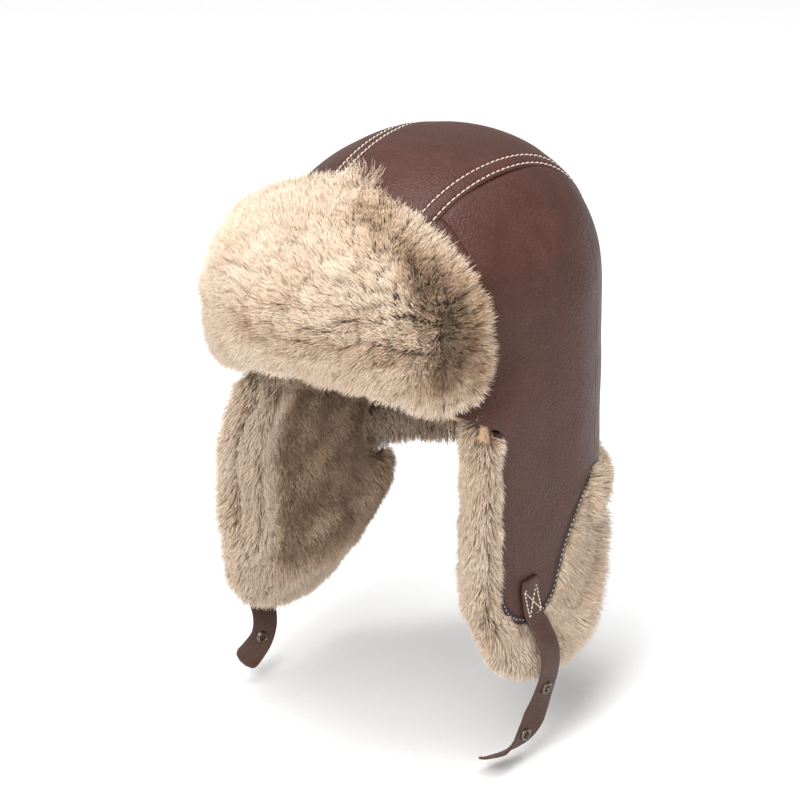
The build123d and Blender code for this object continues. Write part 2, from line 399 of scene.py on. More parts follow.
def pile(name, low, high):
    """The dense base of the fur, seen between the hairs."""
    m = Maker(name)
    stretched = m.add("ShaderNodeMapping", {"Vector": m.position, "Scale": (1.0, 1.0, 0.35)}).outputs[0]
    fibres = m.add("ShaderNodeTexNoise", {"Vector": stretched, "Scale": 1500.0,
        "Detail": 4.0}).outputs["Fac"]
    cloud = m.noise(60.0, 4.0, 0.6)
    colour = m.mix(m.spread(fibres, 0.3, 0.7), low, high)
    colour = m.mix(m.spread(cloud, 0.4, 0.65, 0.0, 0.5), colour, low)
    return m.finish(colour, m.spread(fibres, 0.3, 0.7, 0.75, 0.95), m.bump(fibres, 0.9, 0.0015),
        Sheen_Weight=0.3)


def cloth(name, low, high, scale=900.0, roughness=0.8):
    """Thread, felt or tape: fine fibres and a little unevenness."""
    m = Maker(name)
    fibres = m.noise(scale, 4.0, 0.7)
    cloud = m.noise(90.0, 3.0)
    colour = m.mix(m.spread(fibres, 0.3, 0.7), low, high)
    colour = m.mix(m.spread(cloud, 0.4, 0.7, 0.0, 0.3), colour, low)
    return m.finish(colour, m.spread(fibres, 0.3, 0.7, roughness - 0.08, roughness + 0.1),
        m.bump(fibres, 0.6, 0.0002))


def metal(name):
    """Dark antique plating, rubbed brighter on high spots."""
    m = Maker(name)
    wear = m.noise(700.0, 5.0, 0.65)
    spots = m.noise(220.0, 3.0)
    colour = m.mix(m.spread(wear, 0.42, 0.66), (0.075, 0.055, 0.042, 1.0), (0.34, 0.27, 0.20, 1.0))
    colour = m.mix(m.spread(spots, 0.45, 0.65, 0.0, 0.5), colour, (0.030, 0.022, 0.018, 1.0))
    return m.finish(colour, m.spread(wear, 0.35, 0.7, 0.38, 0.22), m.bump(wear, 0.12, 0.00004),
        Metallic=0.9)


# The third colour of each leather is its painted shade for grain creases and dent hollows.
LEATHER_BROWN = leather("hat_leather", (0.078, 0.032, 0.024, 1), (0.100, 0.043, 0.033, 1),
    (0.040, 0.016, 0.012, 1))
STRAP_BROWN = leather("strap_leather", (0.075, 0.038, 0.030, 1), (0.110, 0.060, 0.047, 1),
    (0.036, 0.018, 0.014, 1),
                      grain=900.0, depth=0.00016, roughness=0.42)
FUR_CREAM = fur("fur_cream", (0.19, 0.088, 0.034), (0.60, 0.41, 0.26), (0.84, 0.70, 0.56),
    (0.64, 0.45, 0.29, 1))
# Painted shade: a darker copy of the cream fur, for the lining inside the crown.
FUR_INNER_PAINTED_SHADE = fur("fur_inner_painted_shade", (0.15, 0.082, 0.042), (0.44, 0.30, 0.18), (0.74, 0.59, 0.42),
    (0.40, 0.27, 0.165, 1))
PILE_CREAM = pile("fur_base", (0.52, 0.29, 0.145, 1), (0.78, 0.54, 0.34, 1))
TAPE_DARK = cloth("edge_tape", (0.016, 0.008, 0.007, 1), (0.038, 0.019, 0.016, 1), 700.0, 0.72)
THREAD_CREAM = cloth("cream_thread", (0.52, 0.40, 0.31, 1), (0.82, 0.71, 0.60, 1), 2400.0, 0.7)
FLEECE = cloth("fleece", (0.34, 0.25, 0.17, 1), (0.50, 0.38, 0.27, 1), 1200.0, 0.9)
SNAP_DARK = metal("antique_metal")


# ------------------------------------------------------------------ crown leather
def soft_dents(points, normals, amount, seed):
    """Moves leather in and out by long gentle dents."""
    return points + normals * (amount * waves(points, 70.0, seed, 2))[..., None]


def centre_panel():
    """The strip from forehead to nape over the top, with rolled edges and two stitched rows a side."""
    near = np.array([0.0, 0.35, 0.8, 1.3, 1.7, 2.0, 2.3, 2.8, 3.6, 5.2, 6.8, 7.6, 8.2, 8.5, 8.8, 9.4,
        10.6, 13.0])
    inner = np.linspace(0.46, -0.46, 15)
    turn = np.sin(np.radians(np.linspace(-90, 90, 121)))
    front_wall = np.linspace(FOREHEAD_Z, WALL_TOP, 7)[:-1]
    rear_wall = np.linspace(WALL_TOP, NAPE_Z, 33)[1:]
    rows, edges = [], []
    for part, values in (("front", front_wall), ("dome", turn), ("rear", rear_wall)):
        for value in values:
            guess = APEX_Y + (0.0 if part == "dome" else (-FRONT_DEPTH if part == "front" else REAR_DEPTH))
            if part == "dome":
                guess = APEX_Y + np.where(value < 0, FRONT_DEPTH, REAR_DEPTH) * value
            width = seam_x(guess)
            share = np.concatenate([1 - near / width, inner, near[::-1] / width - 1])
            y = np.full(share.shape, guess, float)
            x = share * width
            for _ in range(16):
                middle = lean(dome_z(x, y)) if part == "dome" else 0.0
                x = share * seam_x(y) + middle
                reach = np.sqrt(np.clip(1 - (x / HALF_WIDTH) ** 2, 0, 1))
                if part == "dome":
                    y = APEX_Y + (FRONT_DEPTH if value < 0 else REAR_DEPTH) * reach * value
                else:
                    y = APEX_Y + (-FRONT_DEPTH if part == "front" else REAR_DEPTH) * reach
            z = dome_z(x, y) if part == "dome" else np.full(share.shape, value)
            rows.append(np.stack([x, y, z], -1))
            edges.append((1 - np.abs(share)) * seam_x(y))
    outer, edge = np.array(rows), np.array(edges)
    normals = crown_normal(outer)
    roll = 0.15 - 0.9 * np.exp(-(edge / 0.5) ** 2)
    for row in SEAM_ROWS:
        roll = roll - 0.5 * np.exp(-((edge - row) / 0.75) ** 2)
    roll = roll + 0.25 * np.exp(-((edge - 5.0) / 2.2) ** 2)
    outer = soft_dents(outer + normals * roll[..., None], normals, 0.35, 3)
    return slab("crown_centre_leather", outer, outer - normals * LEATHER, LEATHER_BROWN)


def side_grid(angles, low_z, side):
    """Side leather over plan angles: over the shoulder from the seam, then down to low_z."""
    theta = np.radians(angles)
    depth = np.where(theta < 0, FRONT_DEPTH, REAR_DEPTH)
    y = APEX_Y + depth * np.sin(theta)
    start = np.minimum(seam_x(y), wall_x(y) - 0.02)
    for _ in range(12):
        start = np.minimum(seam_x(y) + side * lean(dome_z(start, y)), wall_x(y) - 0.02)
    fan = np.sin(np.radians(np.linspace(0, 90, 40)))
    near_seam = np.array([0.0, 0.4, 0.9, 1.6, 2.6, 4.0]) / 60.0
    rows = []
    for share in np.unique(np.concatenate([fan, near_seam])):
        x = start + (wall_x(y) - start) * share
        rows.append(np.stack([x, y, dome_z(x, y)], -1))
    dome_rows = len(rows)
    for share in np.linspace(0, 1, 60)[1:]:
        z = WALL_TOP + (low_z(y) - WALL_TOP) * share
        rows.append(np.stack([side_x(y, z), y, z], -1))
    outer = np.array(rows)
    normals = crown_normal(outer)
    wall = outer[dome_rows:]
    step = 0.2
    lengthwise = (side_x(wall[..., 1] + step, wall[..., 2])
        - side_x(wall[..., 1] - step, wall[..., 2])) / (2 * step)
    upwards = (side_x(wall[..., 1], wall[..., 2] + step)
        - side_x(wall[..., 1], wall[..., 2] - step)) / (2 * step)
    flap_part = smooth(wall[..., 1], 40.0, 20.0)[..., None] * smooth(wall[..., 1], -100.0, -75.0)[...,
        None]
    sloped = unit(np.stack([np.ones_like(upwards), -lengthwise, -upwards], -1))
    normals[dome_rows:] = unit(normals[dome_rows:] * (1 - flap_part) + sloped * flap_part)
    from_seam = np.linalg.norm(outer - outer[:1], axis=-1)
    roll = -1.1 * np.exp(-((from_seam / 1.6) ** 2)) + 0.15
    return soft_dents(outer + normals * roll[..., None], normals, 0.55, 5), normals


LEATHER_EDGE = [(-50.0, -94.0), (-42.0, -112.0), (-24.0, -120.0), (-6.0, -112.0), (6.0, -86.0),
    (24.0, -62.0), (42.0, -52.0)]
edge_curve = curve_through(LEATHER_EDGE, 200)


def flap_low(y):
    """Lower edge of the flap's leather at a depth y."""
    order = np.argsort(edge_curve[:, 0])
    return np.interp(y, edge_curve[order, 0], edge_curve[order, 1])


def forehead_low(y):
    """The arched lower edge ahead of the flap."""
    return np.clip((TEMPLE_Y - y) / (TEMPLE_Y - APEX_Y + FRONT_DEPTH), 0, 1) * FOREHEAD_Z


def plan_angle(y):
    depth = FRONT_DEPTH if y < APEX_Y else REAR_DEPTH
    return math.degrees(math.asin((y - APEX_Y) / depth))


def seam_angle(first, last, depth):
    """The plan angle where the seam meets the crown's wall, looked for from first to last."""
    angles = np.linspace(first, last, 400)
    y = APEX_Y + depth * np.sin(np.radians(angles))
    return float(angles[np.argmax(wall_x(y) > seam_x(y) + 0.1)])


def side_leather(label, side):
    """Three pieces a side: the temple corner, the side that runs on into the flap, and the rear."""
    temple, rear = plan_angle(LEATHER_FRONT_Y), plan_angle(FLAP_REAR_Y)
    spans = {
        "temple": (np.linspace(seam_angle(-89, -30, FRONT_DEPTH), temple, 24), forehead_low),
        "side": (np.concatenate([temple + np.array([0, 0.25, 0.6, 1.1, 1.8]),
            np.linspace(temple + 2.6, rear, 60)]), flap_low),
        "rear": (np.linspace(rear, seam_angle(89, 20, REAR_DEPTH), 36), lambda y: np.full(y.shape, NAPE_Z)),
    }
    made = {}
    for span, (angles, low) in spans.items():
        outer, normals = side_grid(angles, low, side)
        outer, normals = splayed(mirrored(outer, side), side), mirrored(normals, side)
        made[span] = slab(f"{span}_leather_{label}", outer, outer - normals * LEATHER, LEATHER_BROWN,
            flip=side > 0)
    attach(made["temple"], "crown")
    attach(made["rear"], "crown")
    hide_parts(f"crown_panel_{label}")
    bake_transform(made["side"])
    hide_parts(f"ear_flap_shell_{label}")


# ------------------------------------------------------------------ stitches
def stitch_rings(start, end, normal, radius, around=6):
    """A short plump stitch from start to end that dips into the leather at both ends."""
    t = np.array([0.0, 0.14, 0.38, 0.62, 0.86, 1.0])
    thick = np.array([0.45, 0.85, 1.0, 1.0, 0.85, 0.45]) * radius
    rise = np.array([-0.5, 0.25, 0.7, 0.7, 0.25, -0.5]) * radius
    axis = unit(end - start)
    across = unit(np.cross(normal, axis))
    angle = np.linspace(0, 2 * math.pi, around, endpoint=False)
    centre = start + (end - start) * t[:, None] + normal * rise[:, None]
    circle = across[None] * np.cos(angle)[:, None] + normal[None] * np.sin(angle)[:, None]
    return centre[:, None, :] + circle[None] * thick[:, None, None]


def stitch_row(path, normals, pitch, length, radius):
    """Stitches spaced evenly along a path of points."""
    run = np.concatenate([[0], np.cumsum(np.linalg.norm(np.diff(path, axis=0), axis=1))])
    at = np.arange(pitch, run[-1] - pitch, pitch)

    def sample(values, where):
        return np.stack([np.interp(where, run, values[:, k]) for k in range(3)], -1)

    starts, ends = sample(path, at), sample(path, at + length)
    mid_normals = unit(sample(normals, at + length / 2))
    return [stitch_rings(a, b, n, radius) for a, b, n in zip(starts, ends, mid_normals)]


def seam_path(inset, side):
    """A line inset from one seam towards the middle, drawn on the left, with the crown's normals."""
    turn = np.sin(np.radians(np.linspace(-90, 90, 400)))
    up = [("wall", z, -1.0) for z in np.linspace(FOREHEAD_Z + 2, WALL_TOP, 12)[:-1]]
    over = [("dome", None, t) for t in turn]
    down = [("wall", z, 1.0) for z in np.linspace(WALL_TOP, NAPE_Z + 2, 60)[1:]]
    path = []
    for part, z, t in up + over + down:
        depth = FRONT_DEPTH if t < 0 else REAR_DEPTH
        y = APEX_Y + depth * t * 0.9
        x = seam_x(y)
        for _ in range(16):
            middle = side * float(lean(dome_z(x, y))) if part == "dome" else 0.0
            x = seam_x(y) + middle - inset
            y = APEX_Y + depth * t * math.sqrt(max(0.0, 1 - (x / HALF_WIDTH) ** 2))
        path.append((x, y, float(dome_z(x, y)) if part == "dome" else z))
    path = np.array(path)
    return path, crown_normal(path)


def seam_stitches(label, side):
    rings = []
    for row in SEAM_ROWS:
        path, normals = seam_path(row, side)
        path = mirrored(path + normals * 0.1, side)
        rings += stitch_row(path, mirrored(normals, side), 4.3, 3.5, 0.42)
    piece = join_tubes(f"seam_stitches_{label}", rings, THREAD_CREAM)
    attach(piece, "crown")
    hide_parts(f"crown_seam_thread_{label}")


# ------------------------------------------------------------------ fur
def surface_frame(shape, u, v):
    """Point, normal and area of a surface at parameters u and v."""
    step = 1e-3
    p = shape(u, v)
    du = (shape(u + step, v) - shape(u - step, v)) / (2 * step)
    dv = (shape(u, v + step) - shape(u, v - step)) / (2 * step)
    cross = np.cross(du, dv)
    return p, unit(cross), np.linalg.norm(cross, axis=-1)


def sow(shape, count, wanted, u_range, v_range):
    """Roots spread evenly over a surface, thinner where wanted says less."""
    u = rng.uniform(*u_range, count * 10)
    v = rng.uniform(*v_range, count * 10)
    p, n, area = surface_frame(shape, u, v)
    chance = area * wanted(p, n)
    keep = rng.random(len(u)) < chance / np.quantile(chance, 0.995)
    keep = np.flatnonzero(keep)
    if len(keep) > count:
        keep = rng.choice(keep, count, replace=False)
    return p[keep], n[keep]


def gather(roots, size):
    """A tuft number for each root: neighbours within about size share one."""
    wobble = np.stack([waves(roots, size * 3.0, s, 1) for s in (11, 12, 13)], -1) * size * 0.7
    cell = np.floor((roots + wobble) / size).astype(np.int64)
    key = cell[:, 0] * 73856093 ^ cell[:, 1] * 19349663 ^ cell[:, 2] * 83492791
    return np.unique(key, return_inverse=True)[1].ravel()


def grow_fur(name, roots, normals, flow, length, width, parting_and_shade, material, tuft=6.0, tuft_pull=0.45,
    rings=3):
    """Closed tapered hairs as one mesh. flow leans each hair along the surface, in proportion."""
    count = len(roots)
    length = length * rng.uniform(0.72, 1.12, count)
    flow = flow - normals * (flow * normals).sum(-1, keepdims=True)
    jitter = rng.normal(size=(count, 3))
    jitter -= normals * (jitter * normals).sum(-1, keepdims=True)
    tilt = flow + jitter * 0.14
    slope = np.linalg.norm(tilt, axis=-1, keepdims=True)
    tilt = tilt / np.maximum(slope, 1e-6) * np.minimum(slope, 1.25)
    upright = np.sqrt(np.maximum(0.10, 1.0 - 0.55 * np.minimum(slope, 1.25) ** 2))

    def spot(t):
        return roots + length[:, None] * (normals * upright * (t - 0.22 * t * t)
            + tilt * (0.35 * t + 0.55 * t * t))

    tips = spot(1.0)
    group = gather(roots, tuft)
    size = np.bincount(group)
    centre = np.stack([np.bincount(group, tips[:, k]) / size for k in range(3)], -1)[group]
    pull = tuft_pull * rng.uniform(0.3, 1.0, count)[:, None] * (centre - tips)
    pull -= normals * (pull * normals).sum(-1, keepdims=True) * 0.5

    along = unit(tips - roots)
    side_a = unit(np.cross(along, rng.normal(size=(count, 3))))
    side_b = np.cross(along, side_a)
    width = width * rng.uniform(0.75, 1.25, count)
    levels = np.linspace(0.0, 0.80, rings)
    girth = np.interp(levels, [0.0, 0.35, 0.8], [1.0, 0.95, 0.55])
    angle = np.radians([0.0, 120.0, 240.0])
    blocks = []
    for t, g in zip(levels, girth):
        middle = spot(t) + pull * t * t
        for a in angle:
            blocks.append(middle + (side_a * math.cos(a) + side_b * math.sin(a)) * (width * g * 0.5)[:,
                None])
    blocks.append(tips + pull)
    vertices = np.stack(blocks, 1)
    per = vertices.shape[1]
    tip = per - 1
    quads, tris = [], [(2, 1, 0)]
    for level in range(rings - 1):
        for k in range(3):
            a, b = level * 3 + k, level * 3 + (k + 1) % 3
            quads.append((a, b, b + 3, a + 3))
    last = (rings - 1) * 3
    tris += [(last + k, last + (k + 1) % 3, tip) for k in range(3)]
    base = (np.arange(count) * per)[:, None, None]
    quads = (np.array(quads)[None] + base).reshape(-1, 4)
    tris = (np.array(tris)[None] + base).reshape(-1, 3)
    piece = make_piece(name, vertices, [quads, tris], material)

    mesh = piece.data
    t_of = np.concatenate([np.repeat(levels, 3), [1.0]])
    values = {
        "fur_along": np.tile(t_of, count),
        "fur_tint": np.repeat(rng.random(count), per),
        "fur_parting_and_shade": np.repeat(np.clip(parting_and_shade + rng.normal(0, 0.06, count), 0, 1), per),
    }
    for key, value in values.items():
        mesh.attributes.new(key, "FLOAT", "POINT").data.foreach_set("value", value.astype(np.float32))
    hair_map(mesh, count, per, t_of)
    return piece


def hair_map(mesh, count, per, t_of):
    """Texture coordinates: each hair in its own cell of a square grid, root at the cell's foot."""
    cells = int(math.ceil(math.sqrt(count)))
    corners = np.empty(len(mesh.loops), np.int32)
    mesh.loops.foreach_get("vertex_index", corners)
    hair, vertex = corners // per, corners % per
    across = 0.2 + 0.3 * (vertex % 3)
    u = (hair % cells + across) / cells
    v = (hair // cells + 0.12 + 0.76 * t_of[vertex]) / cells
    layer = mesh.uv_layers.new(name="OFBake")
    layer.data.foreach_set("uv", np.stack([u, v], -1).astype(np.float32).ravel())


def pad_piece(name, shape, u_values, v_values, material):
    """A closed pad: a grid whose v lines run between two poles, or rings closed by fans."""
    u, v = np.meshgrid(u_values, v_values, indexing="ij")
    p = shape(u, v)
    vertices, quads, first, last = capped_tube(p)
    return make_piece(name, vertices, [quads, np.concatenate([first, last])], material)


# ---- front flap ----
BRIM_LOW, BRIM_LOW_DROP = 44.5, 31.0
BRIM_TOP_END, BRIM_TOP_MIDDLE, BRIM_TOP_LEAN = 94.0, 126.0, 5.5
PAD_REAR_Y = -70.0


def brim_reach(z, grow):
    """Plan angle from the middle of the forehead to the brim's end, in radians."""
    return np.arccos(np.clip((APEX_Y - PAD_REAR_Y) / (FRONT_DEPTH * shrink(z) + grow), 0.02, 0.999))


def brim_edges(a):
    """Heights of the brim's lower and upper edges, from one end (-1) to the other (1)."""
    low = BRIM_LOW - BRIM_LOW_DROP * np.minimum(np.abs(a), 0.8) ** 2.2
    top = BRIM_TOP_END + (BRIM_TOP_MIDDLE - BRIM_TOP_END) * (1 - np.abs(a) ** 6)
    return low, top + BRIM_TOP_LEAN * smooth(a, 0.02, 0.3) * smooth(a, 0.95, 0.6)


def brim_shape(u, v):
    """The pad under the brim's fur: u runs from end to end, v around its section."""
    a = np.clip(u, -0.9999, 0.9999)
    low, top = brim_edges(a)
    close = (1 - np.abs(a) ** 9) ** (1 / 2.4)
    mid_z, half_z = (low + top) / 2, (top - low) / 2 * (0.55 + 0.45 * close)
    c, s = np.cos(v), np.sin(v)
    z = mid_z + half_z * np.sign(s) * np.abs(s) ** 0.72
    grow = 12.5 + 9.5 * close * np.sign(c) * np.abs(c) ** 0.62
    theta = -math.pi / 2 + a * brim_reach(z, grow)
    return crown_point(theta, z, grow)


def brim_parting_angle(z):
    """Where the brim's fur parts, in degrees to the wearer's left of the middle."""
    return np.interp(z, [40.0, 60.0, 78.0, 96.0, 115.0], [36.0, 37.0, 36.0, 29.0, 14.0])


def brim_sheet(name, node, near, far, margin, material):
    """A sheet behind or inside the brim's pad, between two distances from the crown's face."""
    a, share = np.meshgrid(np.linspace(-0.9, 0.9, 70), np.linspace(0, 1, 26), indexing="ij")
    low, top = brim_edges(a)
    z = low + margin + (top - low - 2 * margin) * share
    faces = [crown_point(-math.pi / 2 + a * brim_reach(z, grow), z, grow) for grow in (far, near)]
    piece = slab(name, *faces, material)
    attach(piece, "front_flap")
    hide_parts(node)
    return piece


def front_flap():
    brim_sheet("brim_backing", "front_flap_backing", 1.2, 2.6, 7.0, LEATHER_BROWN)
    brim_sheet("brim_stiffener", "front_flap_stiffener", 5.5, 7.0, 11.0, FLEECE)
    pad = pad_piece("front_flap_pad", brim_shape, np.linspace(-1, 1, 90),
        np.linspace(0, 2 * math.pi, 56, endpoint=False), PILE_CREAM)
    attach(pad, "front_flap")
    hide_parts("front_flap_fur")

    def wanted(p, n):
        outward = unit(p * np.array([1, 1, 0]) - np.array([0, APEX_Y, 0]))
        facing = (n * outward).sum(-1)
        return np.clip(0.30 + facing, 0.04, 1.0)

    for index in range(6):
        roots, normals = sow(brim_shape, 15000, wanted, (-1, 1), (0, 2 * math.pi))
        centre = roots - np.array([0, APEX_Y, 0])
        theta = np.degrees(np.arctan2(centre[:, 1], centre[:, 0])) + 90
        sideways = unit(np.stack([-centre[:, 1], centre[:, 0], 0 * centre[:, 0]], -1))
        split = theta - brim_parting_angle(roots[:, 2])
        across = np.tanh(split / 8.0) * np.where(split > 0, 1.0, 0.30
            + 0.45 * np.exp(-(split / 30.0) ** 2))
        across = across * (1 - 0.75 * smooth(roots[:, 2], 96, 114))
        line_z = 61.0 - 0.15 * theta + 1.5 * np.sin(theta / 9.0)
        lift = np.tanh((roots[:, 2] - line_z) / 30.0) * (1 - 0.45 * np.exp(-(split / 14.0) ** 2))
        swirl = waves(roots, 46.0, 21, 2)
        flow = sideways * (0.62 * across + 0.16 * swirl)[:, None]
        flow = flow + np.array([0, 0, 1.0]) * (0.62 * lift - 0.04 + 0.16 * waves(roots, 40.0, 22, 2))[:,
            None]
        right_part = 1.25 * np.exp(-(split / 6.0) ** 2) * smooth(roots[:, 2], 30, 48) * (1
            - 0.6 * smooth(roots[:, 2], 84, 108))
        middle_part = 0.42 * np.exp(-((roots[:, 2] - line_z) / 6.0) ** 2) * smooth(theta, -30,
            -6) * smooth(theta, 44, 34)
        patchy = 0.85 + 0.35 * waves(roots, 14.0, 23, 2)
        parting_and_shade = np.clip(np.maximum(right_part, middle_part) * patchy, 0, 1)
        parting_and_shade = np.maximum(parting_and_shade, 0.16 * smooth(waves(roots, 30.0, 25, 2), 0.1, 0.9))
        length = (15.5 - 2.5 * parting_and_shade + 0.5 * index) * (1 + 0.08 * waves(roots, 18.0, 24, 2))
        piece = grow_fur(f"front_flap_fur_{index + 1}", roots, normals, flow, length, 0.44, parting_and_shade,
            FUR_CREAM, 7.0, 0.50, rings=2)
        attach(piece, "front_flap")


# ---- ear flaps ----
FUR_EDGE = [(-57.0, 8.0), (-60.0, -30.0), (-60.0, -90.0), (-52.0, -124.0), (-37.0, -145.0),
    (-12.0, -153.0), (16.0, -149.0),
            (38.0, -137.0), (54.0, -119.0), (63.0, -100.0), (62.0, -86.0), (44.0, -77.0), (40.0, -50.0),
                (40.0, -20.0),
            (38.0, 8.0), (0.0, 10.0)]
FLAP_CENTRE = np.array([-8.0, -62.0])
outline = curve_through(FUR_EDGE, 400, closed=True)
outline_angle = np.arctan2(outline[:, 1] - FLAP_CENTRE[1], outline[:, 0] - FLAP_CENTRE[0])
outline_radius = np.hypot(outline[:, 0] - FLAP_CENTRE[0], outline[:, 1] - FLAP_CENTRE[1])
outline_order = np.argsort(outline_angle)


def outline_reach(angle):
    wrapped = (angle + math.pi) % (2 * math.pi) - math.pi
    return np.interp(wrapped, outline_angle[outline_order], outline_radius[outline_order],
        period=2 * math.pi)


def flap_shape(u, v):
    """The pad under a left flap's fur: u runs from the outer face to the inner, v round the outline."""
    u = np.clip(u, -0.9999, 0.9999)
    share = 1.0 - np.abs(u) ** 2.2
    reach = outline_reach(v) * share
    y = FLAP_CENTRE[0] + reach * np.cos(v)
    z = FLAP_CENTRE[1] + reach * np.sin(v)
    thick = 8.2 * np.sign(u) * (1.0 - share ** 5.26) ** 0.35
    beyond = smooth(share, 0.72, 1.0) * smooth(z, -92.0, -122.0)
    behind = smooth(share, 0.75, 1.0) * smooth(y, 5.0, 35.0) * smooth(z, -40.0, -66.0)
    ahead = smooth(y, -50.0, -58.0)
    x = flap_x(y) - 13.5 - thick + 9.0 * np.maximum(np.maximum(beyond, behind), 0.8 * ahead)
    return np.stack([x, y, z], -1)


def ear_flap(label, side):
    def shape(u, v):
        return splayed(mirrored(flap_shape(u, v * side), side), side)

    u_values = np.sin(np.linspace(-1, 1, 51) * math.pi / 2)
    pad = pad_piece(f"ear_flap_pad_{label}", shape, u_values,
        np.linspace(0, 2 * math.pi, 72, endpoint=False), PILE_CREAM)
    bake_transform(pad)
    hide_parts(f"ear_flap_lining_{label}")

    def wanted(p, n):
        under_leather = smooth(n[:, 0] * side, 0.35, 0.7) * smooth(p[:, 2], flap_low(p[:, 1]) - 4,
            flap_low(p[:, 1]) + 6)
        front = LEATHER_FRONT_Y - 8.0 * (1 - side) / 2
        under_leather = under_leather * smooth(p[:, 1], front - 2, front + 3)
        beside_leather = smooth(n[:, 0] * side, 0.1, 0.5) * smooth(p[:, 2], -7.0, 1.0)
        return np.clip(1.0 - under_leather, 0.0, 1.0) * smooth(p[:, 2], 10.0, 3.0) * (1.0
            - beside_leather)

    for index in range(4):
        roots, normals = sow(shape, 17000, wanted, (-0.999, 0.999), (0, 2 * math.pi))
        inward = normals[:, 0] * side
        flow = np.zeros_like(roots)
        flow[:, 2] = -0.62
        flow[:, 1] = 0.35 * np.sin((roots[:, 1] + 10) / 34.0) + 0.18 * waves(roots, 40.0, 31, 2)
        flow[:, 0] = side * 0.25 * smooth(inward, 0.2, -0.6)
        outward = smooth(inward, -0.1, 0.5) * smooth(roots[:, 1], -20.0, 10.0)
        radial = unit(roots[:, 1:] - FLAP_CENTRE)
        flow[:, 1:] += outward[:, None] * (0.75 * radial + np.array([0.0, 0.45]))
        flow[:, 2] += 0.22 * waves(roots, 34.0, 32, 2)
        # Painted shade: on the flap's inner face, behind its front edge and above its hem, the hair is
        # browned.
        inside = 0.80 * smooth(inward, -0.35, -0.85) * smooth(roots[:, 1], -52, -38) * smooth(roots[:, 2],
            -138, -112)
        parting_and_shade = np.clip(inside * (0.9 + 0.3 * waves(roots, 26.0, 33, 2))
            + 0.12 * waves(roots, 22.0, 35, 2), 0, 1)
        length = (10.5 + 0.6 * index) * (1 + 0.12 * waves(roots, 20.0, 34, 2)) * (1
            - 0.18 * smooth(inward, -0.3, -0.9))
        length = length * (1 + 0.22 * outward)
        piece = grow_fur(f"ear_flap_fur_{label}_{index + 1}", roots, normals, flow, length, 0.42, parting_and_shade,
            FUR_CREAM, 4.5, 0.4, rings=2)
        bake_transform(piece)


# ---- crown lining and nape ----
def lining_low(theta):
    """Lower edge of the lining's pad at a plan angle."""
    y = APEX_Y + np.where(np.sin(theta) < 0, FRONT_DEPTH, REAR_DEPTH) * np.sin(theta)
    front = np.clip((TEMPLE_Y - y) / (TEMPLE_Y - APEX_Y + FRONT_DEPTH), 0, 1) * (FOREHEAD_Z - 2.0)
    return front - 70.0 * smooth(y, 41.0, 49.0)


def lining_shape(u, v):
    """The pad inside the crown: v is the plan angle, u runs from the outer pole by the hem to the inner."""
    low = lining_low(v)
    climb = np.abs(u)
    wall = 0.42
    rim = 0.07
    z_wall = low + (WALL_TOP - low) * np.clip((climb - rim) / (wall - rim), 0, 1)
    turn = np.clip((climb - wall) / (1 - wall), 0, 1) * math.pi / 2
    inner = u > 0
    inset = np.where(inner, 11.5, 4.6)
    rounding = np.clip(climb / rim, 0, 1)
    inset = 8.0 + (inset - 8.0) * np.sin(rounding * math.pi / 2)
    z_wall = z_wall - 3.5 * np.cos(rounding * math.pi / 2)
    hem = smooth(z_wall, -54.0, -64.0) * np.where(inner, 0.35, 1.0)
    inset = inset - 6.0 * hem
    power = 2.0 / ROUNDNESS
    top = CROWN_TOP - inset
    z = np.where(climb < wall, z_wall, WALL_TOP + (top - WALL_TOP) * np.sin(turn) ** power)
    s = np.where(climb < wall, 1.0, np.maximum(np.cos(turn), 1e-4) ** power)
    depth = np.where(np.sin(v) < 0, FRONT_DEPTH, REAR_DEPTH)
    x = (HALF_WIDTH - inset) * s * np.cos(v)
    y = APEX_Y + (depth - inset) * s * np.sin(v)
    return np.stack([x, y, z], -1)


def crown_lining():
    climb = np.concatenate([np.linspace(0.999, 0.44, 16), np.linspace(0.42, 0.08, 22),
        np.linspace(0.07, 0.01, 5)])
    u_values = np.concatenate([-climb, climb[::-1]])
    theta = np.radians(np.concatenate([np.linspace(-180, 10, 90, endpoint=False),
        np.linspace(10, 24, 16, endpoint=False),
                                       np.linspace(24, 156, 60, endpoint=False),
                                           np.linspace(156, 180, 20, endpoint=False)]))
    pad = pad_piece("crown_lining_pad", lining_shape, u_values, theta, PILE_CREAM)
    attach(pad, "crown")
    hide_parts("crown_lining_centre", "crown_lining_left", "crown_lining_right")

    def inside(p, n):
        return 1.0 * (p[:, 2] < 112.0)

    roots, normals = sow(lining_shape, 19500, inside, (-0.02, 0.86), (-math.pi, math.pi))
    flow = np.zeros_like(roots)
    flow[:, 2] = -0.75
    flow[:, 1] = 0.25 * waves(roots, 40.0, 41, 2)
    flow[:, 0] = 0.25 * waves(roots, 40.0, 42, 2)
    # Painted shade: the whole lining's hair is browned, on top of its darker material.
    parting_and_shade = np.clip(0.42 + 0.2 * waves(roots, 30.0, 43, 2), 0, 1)
    piece = grow_fur("crown_lining_fur", roots, normals, flow, np.full(len(roots), 9.5), 0.60, parting_and_shade,
        FUR_INNER_PAINTED_SHADE, 5.0, 0.4, rings=2)
    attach(piece, "crown")

    def hem(p, n):
        return 1.0 * (p[:, 2] < -50.0)

    roots, normals = sow(lining_shape, 15000, hem, (-0.30, 0.30), (math.radians(16), math.radians(164)))
    flow = np.zeros_like(roots)
    flow[:, 2] = -0.45 + 0.2 * waves(roots, 30.0, 44, 2)
    flow[:, :2] = 0.35 * unit(roots[:, :2] - np.array([0, APEX_Y]))
    length = 11.0 * (1 + 0.12 * waves(roots, 18.0, 45, 2))
    piece = grow_fur("nape_fur", roots, normals, flow, length, 0.58, np.full(len(roots), 0.05), FUR_CREAM,
        4.5, 0.4, rings=2)
    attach(piece, "crown")


